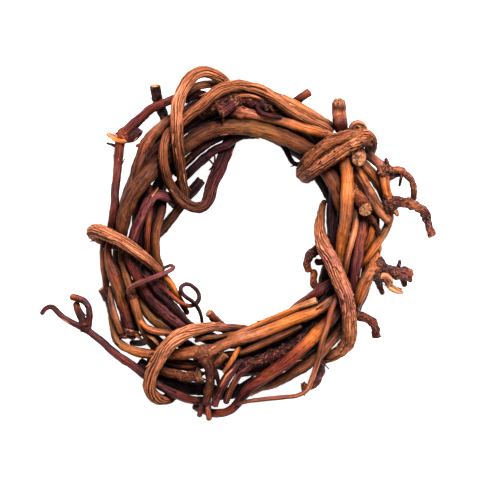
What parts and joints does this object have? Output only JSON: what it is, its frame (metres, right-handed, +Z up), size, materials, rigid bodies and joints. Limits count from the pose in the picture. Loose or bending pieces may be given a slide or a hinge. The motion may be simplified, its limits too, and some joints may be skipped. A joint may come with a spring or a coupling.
{
  "type": "grapevine wreath",
  "caption": "Small round wreath of wound dried grapevine canes, with fluted binding vines, curling tendrils and cut stubs.",
  "frame": {"origin": "middle of the bounding box, on the surface that the wreath lies on", "axes": "+Z up out of the front of the wreath, +Y to the top of the front view, +X to its right"},
  "size_m": [0.1388, 0.1236, 0.0243],
  "materials": {
    "fluted_bark": "dry brown bark with deep lengthwise grooves",
    "golden_bark": "smooth orange-brown cane, slightly satin",
    "olive_bark": "smooth olive-brown cane",
    "red_bark": "red-brown young shoot, satin",
    "dark_bark": "dark purple-brown cane, matte"
  },
  "bodies": {
    "root": {"cane_back_middle": "olive_bark", "cane_back_inner": "golden_bark", "cane_back_outer": "red_bark", "cane_core_inner": "dark_bark", "cane_core_outer": "olive_bark", "binder_top": "fluted_bark", "binder_left": "fluted_bark", "binder_bottom": "fluted_bark", "binder_right": "fluted_bark", "tie_vine": "fluted_bark", "tie_hump": "fluted_bark", "cane_olive_wide": "olive_bark", "cane_left_outer_arc": "golden_bark", "cane_top_inner": "golden_bark", "cane_top_right_outer": "golden_bark", "cane_top_dark_torn": "dark_bark", "cane_top_olive_strip": "olive_bark", "cane_dark_inner_long": "dark_bark", "cane_dark_inner_short": "dark_bark", "cane_right_orange": "golden_bark", "cane_right_striped": "golden_bark", "cane_right_second": "golden_bark", "cane_right_outer": "golden_bark", "cane_right_yellow": "olive_bark", "cane_right_thin": "golden_bark", "cane_right_pale": "golden_bark", "cane_right_red": "red_bark", "cane_right_lower": "golden_bark", "cane_right_dark_inner": "dark_bark", "cane_bottom_long": "golden_bark", "cane_bottom_inner": "golden_bark", "cane_bottom_dark_red": "red_bark", "cane_bottom_thin": "golden_bark", "cane_bottom_brown": "olive_bark", "cane_bottom_outer": "red_bark", "cane_bottom_outermost": "golden_bark", "cane_bottom_tan": "olive_bark", "cane_bottom_dark": "dark_bark", "cane_bottom_deep": "dark_bark", "cane_bottom_shadow": "dark_bark", "cane_bottom_left_dark": "dark_bark", "cane_left_red_wide": "red_bark", "cane_left_thin_orange": "golden_bark", "cane_left_pink": "dark_bark", "cane_left_olive": "olive_bark", "cane_left_dark": "dark_bark", "cane_left_narrow": "olive_bark", "cane_left_thin_red": "red_bark", "cane_left_inner": "olive_bark", "shoot_top_red": "red_bark", "shoot_left_forked": "red_bark", "shoot_bottom_string": "golden_bark", "twig_bottom_thin": "golden_bark", "stub_top_left": "dark_bark", "stub_top_right": "olive_bark", "peg_top_right": "olive_bark", "peg_cut_face": "golden_bark", "cane_knotted_short": "olive_bark", "stub_bottom_inner": "golden_bark", "tendril_right_lower": "red_bark"}
  },
  "joints": []
}
